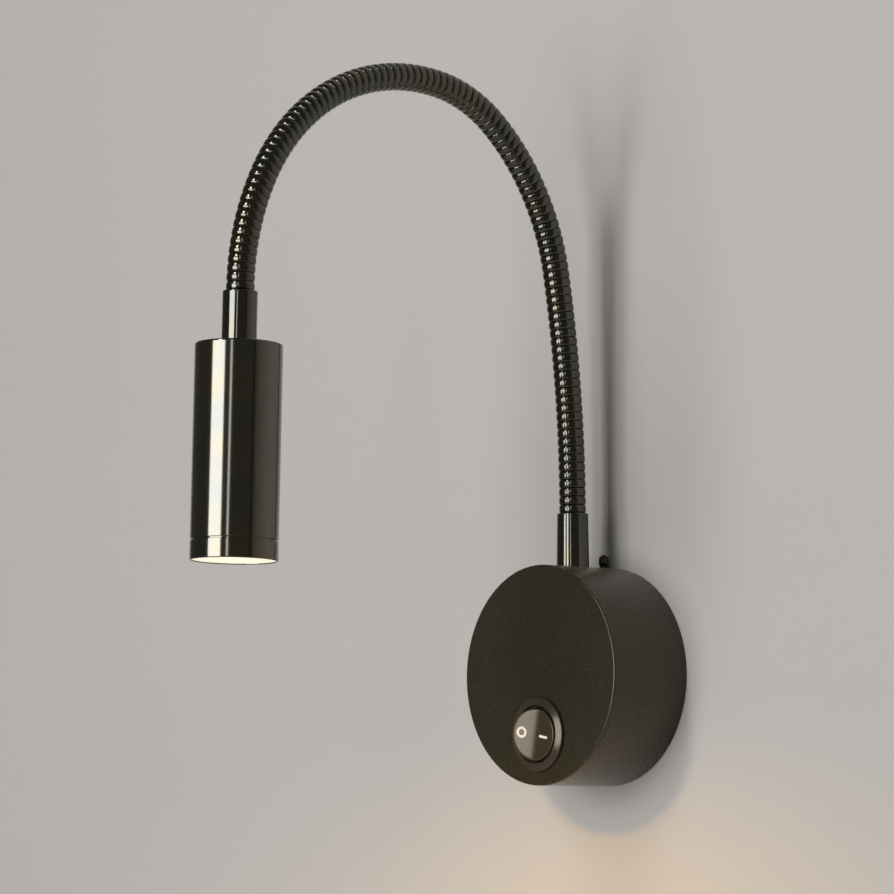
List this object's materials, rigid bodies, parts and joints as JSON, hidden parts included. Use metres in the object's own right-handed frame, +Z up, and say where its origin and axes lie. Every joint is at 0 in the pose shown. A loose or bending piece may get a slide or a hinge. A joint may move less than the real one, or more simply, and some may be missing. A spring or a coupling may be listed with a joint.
{
  "type": "bedside wall reading lamp",
  "caption": "Wall reading lamp: round base with a rocker switch, a ribbed gooseneck that arches outwards and a slim cylindrical spot head that shines down.",
  "frame": {"origin": "centre of the base's back face, on the wall, midway between the two round wall-screw holes", "axes": "+Y into the wall, -Y out into the room, +Z up, +X to the right as seen from the room"},
  "size_m": [0.08, 0.1898, 0.2566],
  "materials": {
    "base_paint": "satin dark brown-grey powder coat",
    "black_nickel_brass": "dark gunmetal plating, glossy",
    "black_nickel_steel": "dark gunmetal plating, glossy",
    "black_nickel_aluminium": "dark gunmetal plating, glossy",
    "zinc_steel": "zinc plated",
    "dark_screw": "black plated",
    "switch_black": "moulded, semi-gloss",
    "brass": "bare",
    "white_plastic": "moulded",
    "sleeve_plastic": "moulded",
    "board_green": "glass-fibre board",
    "winding_yellow": "taped winding and core",
    "can_blue": "sleeved can",
    "foam": "adhesive foam",
    "live_brown": "insulated wire",
    "neutral_blue": "insulated wire",
    "earth_green": "insulated wire",
    "lead_black": "two-core insulated lead",
    "lens_white": "frosted diffuser, lit",
    "gasket_rubber": "soft",
    "reflector_bright": "bright",
    "board_white": "white solder mask",
    "led_yellow": "phosphor",
    "bare_aluminium": "as extruded"
  },
  "bodies": {
    "base": {"base_cup": "base_paint", "wall_bracket": "zinc_steel", "cover_screw": "dark_screw", "switch_housing": "switch_black", "rocker_pins": "zinc_steel", "common_terminal": "brass", "load_terminal": "brass", "blade_connectors": "sleeve_plastic", "driver_pad": "foam", "driver_case": "white_plastic", "driver_lid": "white_plastic", "driver_board": "board_green", "driver_transformer": "winding_yellow", "driver_capacitor": "can_blue", "terminal_block": "white_plastic", "terminal_cages": "brass", "terminal_screws": "zinc_steel", "block_screw": "zinc_steel", "earth_screw": "zinc_steel", "live_lead": "live_brown", "switched_lead": "live_brown", "neutral_lead": "neutral_blue", "earth_lead": "earth_green", "neck_earth_lead": "earth_green", "base_ferrule": "black_nickel_brass", "neck_washer": "zinc_steel", "earth_lug": "brass", "neck_nut": "zinc_steel", "hose_link_1": "black_nickel_steel", "hose_flex_1": "black_nickel_steel", "led_lead": "lead_black"},
    "rocker": {"rocker": "switch_black", "plunger": "white_plastic", "plunger_spring": "zinc_steel"},
    "contact": {"contact_bridge": "brass"},
    "neck_2": {"hose_link_2": "black_nickel_steel", "hose_flex_2": "black_nickel_steel"},
    "neck_3": {"hose_link_3": "black_nickel_steel", "hose_flex_3": "black_nickel_steel"},
    "neck_4": {"hose_link_4": "black_nickel_steel", "hose_flex_4": "black_nickel_steel"},
    "neck_5": {"hose_link_5": "black_nickel_steel", "hose_flex_5": "black_nickel_steel"},
    "head": {"hose_link_6": "black_nickel_steel", "head_ferrule": "black_nickel_brass", "head_washer": "zinc_steel", "head_nut": "zinc_steel", "head_body": "black_nickel_aluminium", "head_bezel": "black_nickel_aluminium", "lens": "lens_white", "lens_gasket": "gasket_rubber", "reflector": "reflector_bright", "led_board": "board_white", "led_chip": "led_yellow", "heat_sink": "bare_aluminium", "board_screws": "zinc_steel"}
  },
  "joints": [
    {"name": "lower_bend", "type": "hinge", "parent": "base", "child": "neck_2", "pos_m": [0, -0.02045, 0.10731], "axis": [1, 0, 0], "range_deg": [-20, 35], "deforming": ["hose_flex_1", "led_lead"]},
    {"name": "lower_side_bend", "type": "hinge", "parent": "neck_2", "child": "neck_3", "pos_m": [0, -0.02967, 0.16202], "axis": [0, -0.9409, -0.3388], "range_deg": [-35, 35], "deforming": ["hose_flex_2", "led_lead"]},
    {"name": "top_bend", "type": "hinge", "parent": "neck_3", "child": "neck_4", "pos_m": [0, -0.06374, 0.20461], "axis": [-1, 0, 0], "range_deg": [-25, 35], "deforming": ["hose_flex_3", "led_lead"]},
    {"name": "far_side_bend", "type": "hinge", "parent": "neck_4", "child": "neck_5", "pos_m": [0, -0.11774, 0.20769], "axis": [0, 0.3167, -0.9485], "range_deg": [-35, 35], "deforming": ["hose_flex_4", "led_lead"]},
    {"name": "head_bend", "type": "hinge", "parent": "neck_5", "child": "head", "pos_m": [0, -0.15993, 0.17334], "axis": [1, 0, 0], "range_deg": [-35, 30], "deforming": ["hose_flex_5", "led_lead"]},
    {"name": "rocker_tilt", "type": "hinge", "parent": "base", "child": "rocker", "pos_m": [0, -0.034, -0.0215], "axis": [-0.1908, 0, -0.9816], "range_deg": [0, 19]},
    {"name": "contact_tilt", "type": "hinge", "parent": "base", "child": "contact", "pos_m": [0, -0.0231, -0.0215], "axis": [-0.1908, 0, -0.9816], "range_deg": [-14, 0]}
  ],
  "couplings": [
    {"joint": "contact_tilt", "follows": "rocker_tilt", "ratio": -0.7368}
  ]
}
